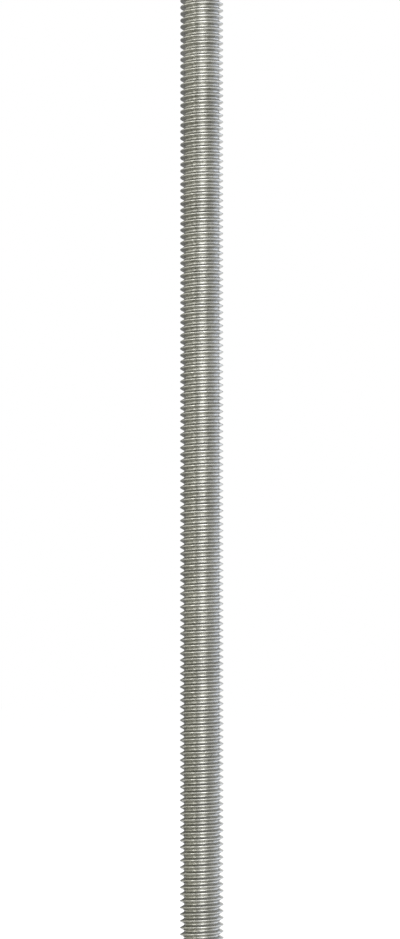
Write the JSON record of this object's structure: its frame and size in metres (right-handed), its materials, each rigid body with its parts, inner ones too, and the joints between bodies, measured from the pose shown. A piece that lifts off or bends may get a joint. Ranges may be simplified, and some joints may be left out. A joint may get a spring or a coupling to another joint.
{
  "type": "threaded rod",
  "caption": "Straight steel rod threaded along its whole length, with flat chamfered ends and no head.",
  "frame": {"origin": "centre of the lower end face", "axes": "+Z along the rod's axis, from the lower end face to the upper one; X and Y across it"},
  "size_m": [0.0098, 0.0098, 0.25],
  "materials": {
    "zinc_plated_steel": "bright zinc plating on rolled steel, a little dull, with fine rolling marks on the crests"
  },
  "bodies": {
    "root": {"rod": "zinc_plated_steel"}
  },
  "joints": []
}
